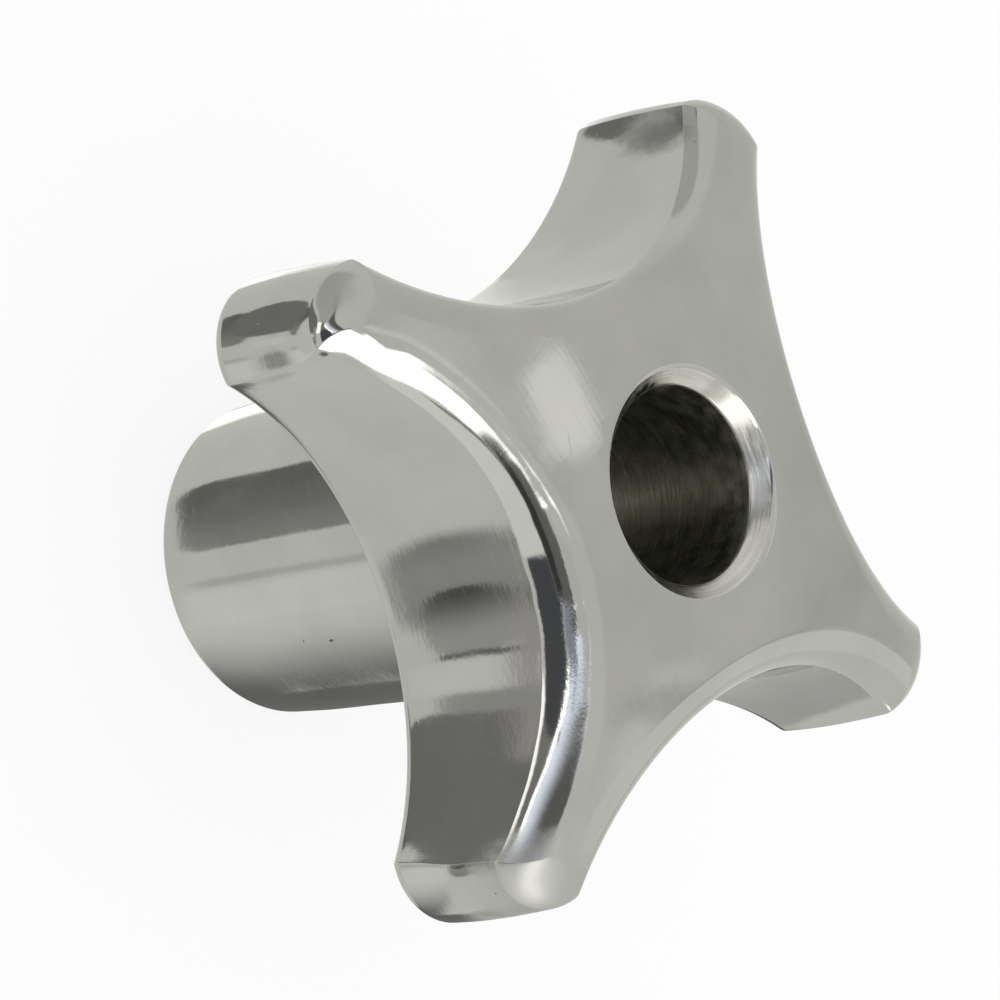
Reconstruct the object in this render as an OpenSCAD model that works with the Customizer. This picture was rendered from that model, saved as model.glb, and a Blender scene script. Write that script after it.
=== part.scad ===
// Star knob: one polished casting with four arms, a long round hub and a plain bore.
// Frame: Z runs up the bore from the hub's end face, the arms lie along X and Y.

/* [Head] */
// Distance across two opposite arm tips.
span = 63; // [50:0.5:80]
// Height from the hub's end face to the rim of the bore.
height = 42.9; // [38:0.1:50]
// Radius of the domed front face.
crown_r = 100; // [80:1:150]
// Height of the back of the arms beside the hub.
back_z = 25; // [20:0.1:28]
// Rise of the back of the arms from the axis to the tips.
back_rise = 0.9; // [0.5:0.1:2]
// Radius of the soft rounding round the front face.
front_round = 2.5; // [1.8:0.1:2.9]
// Radius of the small rounding round the back of the arms.
back_round = 0.7; // [0.5:0.1:1.2]

/* [Flanks] */
// Radius of the hollow finger flanks at the back of the arms.
flank_r = 23.8; // [22:0.1:25]
// Distance from the axis to the deepest point of a flank.
waist = 15.7; // [15.3:0.1:16.6]
// Draft of the flanks, in degrees.
flank_draft = 3.2; // [2:0.1:5]

/* [Tips] */
// Radius of an arm tip seen from the front, at its widest level.
tip_r = 4.9; // [4.6:0.1:6]
// Draft of the tips, in degrees.
tip_draft = 1.6; // [0.5:0.1:4]

/* [Hub] */
// Diameter of the hub where it meets the arms.
hub_d = 25; // [22:0.5:27]
// Taper of the hub towards its end, in degrees a side.
hub_taper = 2.2; // [1:0.1:3]
// Rounding of the hub's end edge.
hub_round = 0.6; // [0.3:0.1:1.5]
// Fillet between the hub and the arms.
hub_fillet = 1.5; // [0.8:0.1:2]

/* [Bore] */
// Diameter of the through bore.
bore_d = 14; // [8:0.5:16]
// Width of the 45 degree chamfer at the front rim.
front_chamfer = 1.3; // [0.5:0.1:1.6]
// Width of the 45 degree chamfer at the hub's end.
end_chamfer = 0.5; // [0.3:0.1:1]

/* [Hidden] */

// Smoothness of the round faces.
$fn = 128;
// Overshoot that carries cutters past the faces they cut.
over = 2;
// How far the front rounding stands off the flanks, which leaves a crisp line.
flank_step = 0.09;
// How far the front rounding rises above the dome it runs into.
crown_step = 0.04;
// The same two stand-offs for the small rounding at the back.
back_step = 0.02;

reach = span / 2;
rim_r = bore_d / 2 + front_chamfer;
// Highest point of the dome if the bore were filled in.
crown_z = height + crown_r - sqrt(crown_r * crown_r - rim_r * rim_r);
back_r = (reach * reach + back_rise * back_rise) / (2 * back_rise);
flank_c = waist + flank_r;
tip_c = reach - tip_r;
// Level above the back rounding where the tips reach furthest out.
wide_z = back_z + back_rise + back_round;
hub_end_r = hub_d / 2 - back_z * tan(hub_taper);

function flank_at(z) = flank_r + (z - back_z) * tan(flank_draft);
function tip_at(z) = tip_r - (z - wide_z) * tan(tip_draft);

// Height of the centre of a ball of radius b that touches the dome or the back
// from inside, a distance d from the axis. s is 1 for the dome, -1 for the back.
function dome_ball_z(d, b) = crown_z - crown_r + sqrt(pow(crown_r - b, 2) - d * d);
function back_ball_z(d, b) = back_z + back_r - sqrt(pow(back_r - b, 2) - d * d);
function ball_z(d, b, s) = s > 0 ? dome_ball_z(d, b) : back_ball_z(d, b);

// Distance along a flank's diagonal, and across it, of a ball that rolls on the flank.
function ball_e(a, z, b) = flank_c - (flank_at(z) + b) * cos(a);
function ball_y(a, z, b) = (flank_at(z) + b) * sin(a);

// Dome and back joined into one lens that bounds every arm.
module lens() {
  intersection() {
    translate([0, 0, crown_z - crown_r])
      sphere(r = crown_r, $fn = 360);
    translate([0, 0, back_z + back_r])
      sphere(r = back_r, $fn = 720);
    translate([0, 0, back_z - over])
      cylinder(r = span, h = height - back_z + 2 * over);
  }
}

// Tool for the rounding along one flank. A ball rolled along the flank and the dome
// stays in one slanted plane, so its track is the arc of a slanted ring.
module flank_edge(b, s, side_step, face_step) {
  z_guess = s > 0 ? height - b : back_z + b;
  e_mid = ball_e(0, z_guess, b);
  z_mid = ball_z(e_mid, b, s);
  e_end = ball_e(45, z_mid - s, b);
  y_end = ball_y(45, z_mid - s, b);
  z_end = ball_z(norm([e_end, y_end]), b, s);
  slant = atan((z_mid - z_end) / (e_end - e_mid));
  chord = (e_end - e_mid) / cos(slant);
  ring_r = (chord * chord + y_end * y_end) / (2 * chord);
  start = (abs(slant) - s * flank_draft) / 2;
  foot = b * sin(start);
  translate([e_mid + ring_r * cos(slant), 0, z_mid - ring_r * sin(slant) + s * face_step])
    rotate([0, slant, 0])
      mirror([0, 0, s > 0 ? 0 : 1])
        rotate_extrude($fn = 360)
          difference() {
            translate([0, foot])
              square([ring_r - side_step, 5 * front_round]);
            translate([ring_r - side_step, 0])
              circle(r = b, $fn = 96);
          }
}

// Everything taken away between two arms.
module flank_cut() {
  low = back_z - over;
  high = height + over;
  translate([flank_c, 0, low])
    cylinder(r1 = flank_at(low), r2 = flank_at(high), h = high - low, $fn = 360);
  flank_edge(front_round, 1, flank_step, crown_step);
  flank_edge(back_round, -1, back_step, back_step);
}

// Rounded limit of a tip, front (s = 1) or back (s = -1): a disc with a rounded rim
// square to the dome or the back, standing on a wide base.
module tip_limit(b, s, step) {
  z = ball_z(tip_c, b, s);
  lean = s > 0 ? asin(tip_c / (crown_r - b)) : -asin(tip_c / (back_r - b));
  side = tip_at(z);
  wide = 3 * tip_r;
  translate([tip_c, 0, z + s * step])
    rotate([0, lean, 0])
      mirror([0, 0, s > 0 ? 0 : 1])
        rotate_extrude($fn = 180) {
          square([side - b, b]);
          intersection() {
            translate([side - b, 0])
              circle(r = b, $fn = 96);
            square([side, b]);
          }
          translate([0, -height])
            square([wide, height]);
        }
}

module tip() {
  low = back_z - over;
  high = height + over;
  intersection() {
    translate([tip_c, 0, low])
      cylinder(r1 = tip_at(low), r2 = tip_at(high), h = high - low);
    tip_limit(front_round, 1, crown_step);
    tip_limit(back_round, -1, back_step);
  }
}

module head() {
  difference() {
    intersection() {
      lens();
      union() {
        translate([0, 0, back_z - over])
          cylinder(r = tip_c, h = height - back_z + 2 * over);
        for (a = [0:90:270])
          rotate([0, 0, a])
            tip();
      }
    }
    for (a = [45:90:315])
      rotate([0, 0, a])
        flank_cut();
  }
}

// Hub with its rounded end edge and the fillet under the arms.
module hub() {
  root = back_z + over;
  rotate_extrude() {
    difference() {
      polygon([
        [0, 0],
        [hub_end_r, 0],
        [hub_d / 2, back_z],
        [hub_d / 2, root],
        [0, root]
      ]);
      difference() {
        translate([hub_end_r - hub_round, -over])
          square([hub_round + over, hub_round + over]);
        translate([hub_end_r - hub_round, hub_round])
          circle(r = hub_round);
      }
    }
    difference() {
      translate([hub_d / 2 - over, back_z - hub_fillet])
        square([hub_fillet + over, hub_fillet + over / 2]);
      translate([hub_d / 2 + hub_fillet, back_z - hub_fillet])
        circle(r = hub_fillet);
    }
  }
}

module bore() {
  translate([0, 0, -over])
    cylinder(d = bore_d, h = height + 3 * over);
  translate([0, 0, height - front_chamfer])
    cylinder(r1 = bore_d / 2, r2 = rim_r + over, h = front_chamfer + over);
  translate([0, 0, -over])
    cylinder(r1 = bore_d / 2 + end_chamfer + over, r2 = bore_d / 2, h = end_chamfer + over);
}

module star_knob() {
  color([0.72, 0.72, 0.70])
    difference() {
      union() {
        head();
        hub();
      }
      bore();
    }
}

star_knob();
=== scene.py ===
"""Star knob: a hand-polished steel casting with four arms, a long hub and a turned bore."""

import logging
import math
from dataclasses import dataclass, field
from enum import Enum

import bpy
import numpy as np
from mathutils import Matrix, Vector
from mathutils.geometry import delaunay_2d_cdt


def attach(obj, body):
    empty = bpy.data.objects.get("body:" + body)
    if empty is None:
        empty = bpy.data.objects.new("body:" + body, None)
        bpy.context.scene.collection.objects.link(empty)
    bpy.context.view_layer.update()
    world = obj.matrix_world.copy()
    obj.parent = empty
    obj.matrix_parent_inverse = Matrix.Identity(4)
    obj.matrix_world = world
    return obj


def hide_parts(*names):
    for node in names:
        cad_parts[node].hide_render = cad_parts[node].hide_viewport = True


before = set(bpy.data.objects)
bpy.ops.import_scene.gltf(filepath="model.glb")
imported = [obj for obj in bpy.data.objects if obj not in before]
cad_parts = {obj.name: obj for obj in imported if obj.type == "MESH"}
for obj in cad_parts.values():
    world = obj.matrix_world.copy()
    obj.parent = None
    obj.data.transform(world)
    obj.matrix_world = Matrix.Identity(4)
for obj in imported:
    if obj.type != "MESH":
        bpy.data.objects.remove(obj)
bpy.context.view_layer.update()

MM = 0.001
LOG = logging.getLogger("star_knob")

STEEL_TINT = (1.005, 1.0, 0.945)
BLUE_GLOW = (0.92, 0.98, 1.08)
CREAM_GLOW = (1.0, 1.0, 0.95)
WHITE = (1.0, 1.0, 1.0, 1.0)

Array = np.ndarray


class Finish(Enum):
    """The finishes on the casting; the value is the number that a face carries."""

    POLISHED = 0
    TURNED_BORE = 1
    TURNED_CHAMFER = 2


def spread(count: int) -> Array:
    """Return count + 1 even steps from 0 to 1."""
    return np.linspace(0.0, 1.0, count + 1)


def smooth(value: Array, low: float, high: float) -> Array:
    """Return a smooth step from 0 at low to 1 at high."""
    t = np.clip((value - low) / (high - low), 0.0, 1.0)
    return t * t * (3 - 2 * t)


def mix(a: Array, b: Array, t: Array) -> Array:
    """Return the value a share t of the way from a to b."""
    return a + (b - a) * t


def cylindrical(start: Array, end: Array) -> Array:
    """Return the way from start to end as outward, sideways and upward parts.

    Args:
        start: x, y, z rows.
        end: x, y, z rows that they move to.

    Returns:
        One outward, sideways, upward row for each point.
    """
    out = start[:, :2] / np.hypot(start[:, 0], start[:, 1])[:, None]
    move = end - start
    radial = (move[:, :2] * out).sum(1)
    side = move[:, 1] * out[:, 0] - move[:, 0] * out[:, 1]
    return np.stack([radial, side, move[:, 2]], axis=1)


@dataclass(frozen=True)
class Dome:
    """A face that is part of a ball round the bore's axis.

    Attributes:
        top: height of the face on the axis.
        radius: radius of the ball, negative where the face bends up from the axis.
    """

    top: float
    radius: float

    def level(self, r: Array | float) -> Array | float:
        """Return the height of the face at distance r from the axis."""
        bend = abs(self.radius) - np.sqrt(self.radius**2 - r * r)
        return self.top - math.copysign(1.0, self.radius) * bend


@dataclass(frozen=True)
class ArmPlan:
    """Outline of an eighth of the head, from the middle of a tip to the middle of a flank.

    All sizes are in millimetres, before the barrel of the polished walls comes off them.
    """

    reach: float = 31.6
    tip_r: float = 5.15
    tip_level: float = 26.6
    tip_draft: float = math.radians(1.6)
    waist: float = 15.78
    flank_r: float = 22.9
    flank_level: float = 25.0
    flank_draft: float = math.radians(3.2)
    corner_r: float = 0.14
    tip_columns: int = 15
    corner_columns: int = 6
    flank_columns: int = 30
    flank_crowding: float = 1.15
    flank_middle: float = math.radians(225)

    @property
    def columns(self) -> int:
        """Number of columns over the eighth, both ends counted."""
        return self.tip_columns + self.corner_columns + self.flank_columns + 1

    def shares(self) -> tuple[Array, Array, Array]:
        """Return for each column its share of the tip arc, the corner and the flank arc.

        Returns:
            Three arrays with a share, from 0 to 1, for each column.
        """
        tip = np.ones(self.columns)
        corner = np.zeros(self.columns)
        flank = np.zeros(self.columns)
        a, b = self.tip_columns, self.tip_columns + self.corner_columns
        tip[: a + 1] = spread(self.tip_columns)
        corner[a : b + 1] = spread(self.corner_columns)
        corner[b:] = 1.0
        flank[b:] = spread(self.flank_columns) ** self.flank_crowding
        return tip, corner, flank

    def flank_share(self) -> Array:
        """Return how far each column is from the tip's corner to the flank's middle, eased."""
        t = self.shares()[2]
        return t * t * (3 - 2 * t)

    def outline(self, z: Array, inset: Array) -> Array:
        """Return the outline's points.

        Args:
            z: height of each column.
            inset: how far each column lies inside the walls.

        Returns:
            One x, y row for each column.
        """
        tip_c = np.array([self.reach - self.tip_r, 0.0])
        side = (self.waist + self.flank_r) / math.sqrt(2)
        flank_c = np.array([side, side])
        tip_r = self.tip_r - (z - self.tip_level) * math.tan(self.tip_draft) - inset
        flank_r = self.flank_r + (z - self.flank_level) * math.tan(self.flank_draft) + inset
        a, b = tip_r - self.corner_r, flank_r + self.corner_r
        gap = flank_c - tip_c
        dist = float(np.hypot(*gap))
        along = (a * a - b * b + dist * dist) / (2 * dist)
        across = np.sqrt(np.maximum(a * a - along * along, 0.0))
        unit = gap / dist
        normal = np.array([unit[1], -unit[0]])
        corner = tip_c + along[:, None] * unit + across[:, None] * normal
        start = np.arctan2(corner[:, 1] - tip_c[1], corner[:, 0] - tip_c[0])
        toward = flank_c - corner
        end = np.arctan2(toward[:, 1], toward[:, 0])
        tip, turn, flank = self.shares()
        on_tip = tip_c + tip_r[:, None] * self.ray(start * tip)
        on_corner = corner + self.corner_r * self.ray(mix(start, end, turn))
        sweep = mix(end + math.pi, np.full_like(end, self.flank_middle), flank)
        on_flank = flank_c + flank_r[:, None] * self.ray(sweep)
        out = np.where((turn > 0)[:, None], on_corner, on_tip)
        return np.where((flank > 0)[:, None], on_flank, out)

    @staticmethod
    def ray(angle: Array) -> Array:
        """Return unit x, y rows for the angles."""
        return np.stack([np.cos(angle), np.sin(angle)], axis=1)


@dataclass(frozen=True)
class EdgeBand:
    """Rounding between a wall and a face: a wide arc, then a tight one at the crease.

    Attributes:
        tip_radius: radius of the wide arc at the middle of a tip.
        flank_radius: radius of the wide arc at the middle of a flank.
        crease: angle left between the wide arc and the wall.
        crease_r: radius of the tight arc that softens the crease.
        rows: rows on the wide arc.
        crease_rows: rows on the tight arc.
    """

    tip_radius: float
    flank_radius: float
    crease: float = 0.0
    crease_r: float = 0.0
    rows: int = 18
    crease_rows: int = 0

    def profile(self, share: Array) -> list[tuple[Array, Array]]:
        """Return inset from the wall and depth below the face, from face to wall.

        Args:
            share: how far each column is along from the tip to the flank's middle.

        Returns:
            One pair of column values for each row.
        """
        radius = mix(np.full_like(share, self.tip_radius), self.flank_radius, share)
        turn = self.crease_r * (1 - math.cos(self.crease))
        whole = radius * math.cos(self.crease) + turn
        steps = []
        for a in mix(math.pi / 2, self.crease, spread(self.rows)):
            steps.append((whole - radius * math.cos(a), radius * (1 - math.sin(a))))
        depth = radius * (1 - math.sin(self.crease)) + self.crease_r * math.sin(self.crease)
        if self.crease_rows:
            for a in mix(self.crease, 0.0, spread(self.crease_rows))[1:]:
                inset = np.full_like(share, self.crease_r * (1 - math.cos(a)))
                steps.append((inset, depth - self.crease_r * math.sin(a)))
        return steps


@dataclass
class Shell:
    """Points and faces gathered for one arm, and the way that each point can be eased."""

    points: list[Array] = field(default_factory=list)
    eases: list[Array] = field(default_factory=list)
    faces: list[tuple[int, ...]] = field(default_factory=list)
    marks: list[int] = field(default_factory=list)
    count: int = 0

    def add_points(self, points: Array, ease: Array) -> None:
        """Add points.

        Args:
            points: x, y, z rows.
            ease: outward, sideways and upward way that each point can be eased.
        """
        self.points.append(points)
        self.eases.append(ease)
        self.count += len(points)

    def add_grid(self, grid: Array, eased: Array, finishes: list[Finish]) -> None:
        """Add rows of points as a strip of four-sided faces.

        Args:
            grid: rows, columns and x, y, z.
            eased: the same grid with the lighter rounding.
            finishes: finish of each row.
        """
        base, (count, width) = self.count, grid.shape[:2]
        flat = grid.reshape(-1, 3)
        self.add_points(flat, cylindrical(flat, eased.reshape(-1, 3)))
        for i in range(count - 1):
            for k in range(width - 1):
                p, q = base + i * width + k, base + (i + 1) * width + k
                self.faces.append((p, q, q + 1, p + 1))
                self.marks.append(finishes[i].value)

    def add_fill(self, spots: Array, triangles: Array, ease: Array, side: int) -> None:
        """Add polished triangles.

        Args:
            spots: x, y, z rows.
            triangles: point numbers, in any turn.
            ease: way that each point can be eased.
            side: 1 where the triangles face up, -1 where they face down.
        """
        a, b, c = (spots[triangles[:, k], :2] for k in range(3))
        turn = np.cross(b - a, c - a) * side
        triangles = np.where((turn < 0)[:, None], triangles[:, ::-1], triangles)
        self.faces += [tuple(int(v) + self.count for v in t) for t in triangles]
        self.marks += [Finish.POLISHED.value] * len(triangles)
        self.add_points(spots, ease)

    def build(self, name: str) -> bpy.types.Mesh:
        """Make the mesh, with the finish on its faces and the ease on its points.

        Args:
            name: name of the mesh.

        Returns:
            The mesh in metres.
        """
        mesh = bpy.data.meshes.new(name)
        mesh.from_pydata((np.concatenate(self.points) * MM).tolist(), [], self.faces)
        mark = mesh.attributes.new("finish", "INT", "FACE")
        mark.data.foreach_set("value", self.marks)
        ease = mesh.attributes.new("ease", "FLOAT_VECTOR", "POINT")
        ease.data.foreach_set("vector", np.concatenate(self.eases).ravel().astype(np.float32))
        mesh.update()
        return mesh


@dataclass
class Casting:
    """The whole knob: domed head with hollow flanks, long hub and turned bore.

    Attributes:
        lighter_band: the front rounding on the three flanks that aren't ground deep.
        barrel_front: how far a polished wall falls back at its crease.
        barrel_back: how far it falls back at its back edge.
        hub_swell: how far the hub stands out near its end.
        edge_gap: gap left at an edge between two finishes.
        neck_steps: way out, way up and finish of each ring between the bore and the chamfer.
        rim_steps: way out and way down of each ring on the rim, in radii of the rim.
        lip: width of the strip that joins the dome to its rounding.
        front_cell: size of the triangles on the dome.
        clear_share: distance kept from a face's edge, as a share of a cell.
        deep_span: angles where the deep rounding starts, is full, starts to fade and ends.
        dressed: place, reach and sideways shift of each spot dressed by hand at the mitres.
        wobble: depth, waves and phase of each wave along the deep rounding.
        rows: rings of the round parts, filled by round_rows.
    """

    plan: ArmPlan = field(default_factory=ArmPlan)
    front: Dome = field(default_factory=lambda: Dome(43.245, 100.0))
    back: Dome = field(default_factory=lambda: Dome(25.0, -551.7))
    front_band: EdgeBand = field(
        default_factory=lambda: EdgeBand(3.2, 3.35, math.radians(13), 0.75, 20, 6)
    )
    lighter_band: EdgeBand = field(
        default_factory=lambda: EdgeBand(3.0, 2.05, math.radians(17), 0.6, 20, 6)
    )
    back_band: EdgeBand = field(default_factory=lambda: EdgeBand(1.3, 0.7, rows=9))
    level_passes: int = 4
    wall_rows: int = 22
    barrel_front: float = 0.10
    barrel_back: float = 0.18
    hub_r: float = 12.5
    hub_end_r: float = 11.54
    hub_round: float = 0.6
    hub_swell: float = 0.08
    fillet: float = 1.5
    fillet_rows: int = 9
    hub_rows: int = 15
    end_round_rows: int = 7
    end_face_rows: int = 4
    bore_r: float = 7.0
    bore_rows: int = 16
    front_chamfer: float = 1.3
    front_chamfer_shares: tuple[float, ...] = (0.2, 0.4, 0.6, 0.8)
    end_chamfer: float = 0.5
    end_chamfer_shares: tuple[float, ...] = (0.1, 0.5, 0.9)
    edge_gap: float = 0.05
    neck_gap: float = 0.12
    neck_steps: tuple[tuple[float, float, Finish], ...] = (
        (0.03, -0.03, Finish.TURNED_BORE), (0.10, 0.07, Finish.TURNED_CHAMFER)
    )
    rim_r: float = 0.3
    rim_steps: tuple[tuple[float, float], ...] = ((-0.7, 0.7), (-0.3, 0.38), (0.2, 0.12))
    lip: float = 0.12
    front_cell: float = 0.75
    back_cell: float = 1.0
    clear_share: float = 0.45
    seam_reach: float = 1e-4
    arms: int = 4
    join_gap: float = 0.004
    deep_span: tuple[float, float, float, float] = (-90.0, -42.0, -5.0, 6.0)
    dressed: tuple[tuple[tuple[float, float, float], float, tuple[float, float]], ...] = (
        ((2.9, -29.0, 37.4), 1.6, (-0.3, -1.2)),
        ((0.9, -27.8, 39.3), 1.2, (0.5, 0.0)),
        ((28.6, -3.0, 37.2), 1.5, (0.4, 0.2)),
        ((29.0, -4.4, 32.5), 2.2, (0.4, 0.0)),
    )
    wobble: tuple[tuple[float, float, float], ...] = (
        (0.035, 31.0, 0.4), (0.025, 67.0, 1.9), (0.018, 113.0, 4.1)
    )
    rows: list[tuple[Array, Finish]] = field(default_factory=list)

    def ring_angles(self) -> Array:
        """Return the angle of each column on the round parts."""
        return math.radians(45) * spread(self.plan.columns - 1)

    def add_ring(self, r: float, z: float, finish: Finish) -> None:
        """Add a round row of radius r at height z."""
        xy = r * ArmPlan.ray(self.ring_angles())
        self.rows.append((np.column_stack([xy, np.full(len(xy), z)]), finish))

    def on_face(self, face: Dome, inset: Array, depth: Array) -> Array:
        """Return the outline's points a given depth off a face.

        Args:
            face: the face that the depth is measured from.
            inset: how far the points lie inside the walls.
            depth: distance under the face, negative above the back.

        Returns:
            One x, y, z row for each column.
        """
        z = np.full(self.plan.columns, face.top)
        for _ in range(self.level_passes):
            xy = self.plan.outline(z, inset)
            z = face.level(np.hypot(xy[:, 0], xy[:, 1])) - depth
        return np.column_stack([xy, z])

    def head_rows(self, band: EdgeBand) -> list[tuple[Array, Finish]]:
        """Return the rows from the dome's edge down the wall to the back face.

        Args:
            band: rounding between the dome and the walls.

        Returns:
            Rows of x, y, z points, each with its finish.
        """
        share = self.plan.flank_share()
        steps = [(inset + self.barrel_front, depth) for inset, depth in band.profile(share)]
        rows = [self.on_face(self.front, steps[0][0] + self.lip, steps[0][1])]
        rows += [self.on_face(self.front, inset, depth) for inset, depth in steps]
        back_steps = self.back_band.profile(share)
        back = [self.on_face(self.back, i + self.barrel_back, -h) for i, h in back_steps]
        top, foot = rows[-1][:, 2], back[-1][:, 2]
        for t in spread(self.wall_rows)[1:-1]:
            z = mix(top, foot, t)
            rows.append(np.column_stack([self.plan.outline(z, self.barrel(t) + 0 * z), z]))
        return [(row, Finish.POLISHED) for row in rows + back[::-1]]

    def barrel(self, t: float) -> float:
        """Return how far a polished wall falls back, t of the way from its crease to its back."""
        side = 2 * t - 1
        return (self.barrel_back if side > 0 else self.barrel_front) * side**2

    def round_rows(self) -> list[tuple[Array, Finish]]:
        """Return the rows from the hub's fillet down the hub and up the bore to its rim.

        Returns:
            Rows of x, y, z points, each with its finish.
        """
        self.rows = []
        rim = self.bore_r + self.front_chamfer
        rim_z = float(self.front.level(rim))
        self.add_hub()
        self.add_bore(rim_z)
        self.add_rim(rim, rim_z)
        return self.rows

    def add_rim(self, rim: float, rim_z: float) -> None:
        """Add the softened edge between the chamfer and the dome.

        Args:
            rim: radius of the chamfer's outer edge.
            rim_z: height of the dome at that radius.
        """
        for out, drop in self.rim_steps:
            self.add_ring(rim + out * self.rim_r, rim_z - drop * self.rim_r, Finish.POLISHED)
        outer = rim + self.rim_r
        self.add_ring(outer, float(self.front.level(outer)), Finish.POLISHED)

    def add_hub(self) -> None:
        """Add the fillet under the arms, the tapered hub and its end face."""
        foot = self.hub_r + self.fillet
        low = self.back.top - self.fillet
        taper = math.atan2(self.hub_r - self.hub_end_r, low)
        self.add_ring(foot, float(self.back.level(foot)), Finish.POLISHED)
        for a in mix(math.pi / 2, taper, spread(self.fillet_rows))[1:]:
            r, z = foot - self.fillet * math.cos(a), low + self.fillet * math.sin(a)
            self.add_ring(r, z, Finish.POLISHED)
        top_r = self.hub_r + self.fillet * (1 - math.cos(taper))
        top_z = low + self.fillet * math.sin(taper)
        end_c = self.hub_end_r - self.hub_round
        for t in spread(self.hub_rows)[1:]:
            r = mix(top_r, self.hub_end_r, t) + self.hub_swell * math.sin(math.pi * t**4) ** 2
            self.add_ring(r, mix(top_z, self.hub_round, t), Finish.POLISHED)
        for a in mix(0.0, math.pi / 2, spread(self.end_round_rows))[1:]:
            r, z = end_c + self.hub_round * math.cos(a), self.hub_round * (1 - math.sin(a))
            self.add_ring(r, z, Finish.POLISHED)
        inner = self.bore_r + self.end_chamfer
        for t in spread(self.end_face_rows)[1:]:
            self.add_ring(mix(end_c, inner + self.edge_gap, t), 0.0, Finish.POLISHED)

    def add_bore(self, rim_z: float) -> None:
        """Add the end chamfer, the bore and the front chamfer.

        Args:
            rim_z: height of the dome at the chamfer's outer edge.
        """
        lead = self.end_chamfer
        for t in self.end_chamfer_shares:
            self.add_ring(self.bore_r + lead * (1 - t), lead * t, Finish.TURNED_CHAMFER)
        neck = rim_z - self.front_chamfer
        for t in spread(self.bore_rows):
            z = mix(lead + self.edge_gap, neck - self.neck_gap, t)
            self.add_ring(self.bore_r, z, Finish.TURNED_BORE)
        for out, up, finish in self.neck_steps:
            self.add_ring(self.bore_r + out, neck + up, finish)
        for t in self.front_chamfer_shares:
            step = self.front_chamfer * t
            self.add_ring(self.bore_r + step, neck + step, Finish.TURNED_CHAMFER)

    def sector(self, inner: Array, outer: Array, cell: float, face: Dome) -> tuple[Array, Array]:
        """Fill a face between a circle and the outline with triangles.

        Args:
            inner: x, y rows of the circle over one arm.
            outer: x, y rows of the outline over one arm.
            cell: size of the triangles.
            face: the face that the points lie on.

        Returns:
            The points and the triangles' point numbers.
        """
        count = max(int((np.hypot(*outer[0]) - np.hypot(*inner[0])) / cell), 2)
        low = np.stack([mix(inner[0], outer[0], t) for t in spread(count)[1:-1]])
        high = np.stack([mix(outer[-1], inner[-1], t) for t in spread(count)[1:-1]])
        loop = np.concatenate([low, outer, high, inner[::-1]])
        points = np.concatenate([loop, self.inside_points(loop, cell)])
        ring = [(i, (i + 1) % len(loop)) for i in range(len(loop))]
        out = delaunay_2d_cdt([Vector(p) for p in points], ring, [], 1, 1e-5)
        xy = np.array([tuple(v) for v in out[0]])
        z = face.level(np.hypot(xy[:, 0], xy[:, 1]))
        return np.column_stack([xy, z]), np.array([tuple(f) for f in out[2]])

    def inside_points(self, loop: Array, cell: float) -> Array:
        """Return the points of a triangle lattice that lie well inside a closed loop.

        Args:
            loop: x, y rows of the loop.
            cell: distance between the lattice's points.

        Returns:
            One x, y row for each point.
        """
        across = np.arange(-self.plan.reach, self.plan.reach, cell)
        gx, gy = np.meshgrid(across, across * math.sqrt(0.75))
        gx = gx + (np.arange(len(across)) % 2)[:, None] * cell / 2
        spots = np.stack([gx.ravel(), gy.ravel()], axis=1)
        a, b = loop, np.roll(loop, -1, axis=0)
        rel, edge = spots[:, None] - a, b - a
        along = np.clip((rel * edge).sum(2) / (edge * edge).sum(1), 0.0, 1.0)
        near = np.hypot(*np.moveaxis(rel - along[..., None] * edge, 2, 0)).min(1)
        above = a[:, 1] > spots[:, 1:2]
        crosses = above != (b[:, 1] > spots[:, 1:2])
        slope = np.where(edge[:, 1] == 0, 1.0, edge[:, 1])
        reach = a[:, 0] + (spots[:, 1:2] - a[:, 1]) * edge[:, 0] / slope
        inside = (crosses & (spots[:, 0:1] < reach)).sum(1) % 2 == 1
        return spots[inside & (near > self.clear_share * cell)]

    @staticmethod
    def both_sides(rows: list[tuple[Array, Finish]]) -> Array:
        """Return rows of an eighth as rows over a whole arm."""
        half = np.stack([row for row, _ in rows])
        return np.concatenate([half[:, :0:-1] * np.array([1.0, -1.0, 1.0]), half], axis=1)

    def quarter_mesh(self) -> bpy.types.Mesh:
        """Return one arm, from the middle of a flank to the middle of the next.

        Returns:
            The mesh, with its finish and ease attributes.
        """
        shell = Shell()
        lighter = self.both_sides(self.head_rows(self.lighter_band))
        head_rows, round_rows = self.head_rows(self.front_band), self.round_rows()
        head, round_part = self.both_sides(head_rows), self.both_sides(round_rows)
        shell.add_grid(head, lighter, [finish for _, finish in head_rows])
        shell.add_grid(round_part, round_part, [finish for _, finish in round_rows])
        fills = (
            (round_part[-1], head[0], self.front_cell, self.front, 1),
            (round_part[0], head[-1], self.back_cell, self.back, -1),
        )
        for inner, outer, cell, face, side in fills:
            spots, triangles = self.sector(inner[:, :2], outer[:, :2], cell, face)
            ease = np.zeros_like(spots)
            if side > 0:
                gap = np.hypot(*(spots[:, None, :2] - outer[None, :, :2]).transpose(2, 0, 1))
                on_edge = gap.min(1) < self.seam_reach
                ease[on_edge] = cylindrical(outer, lighter[0])[gap.argmin(1)[on_edge]]
            shell.add_fill(spots, triangles, ease, side)
        return shell.build("knob_quarter")

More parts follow.
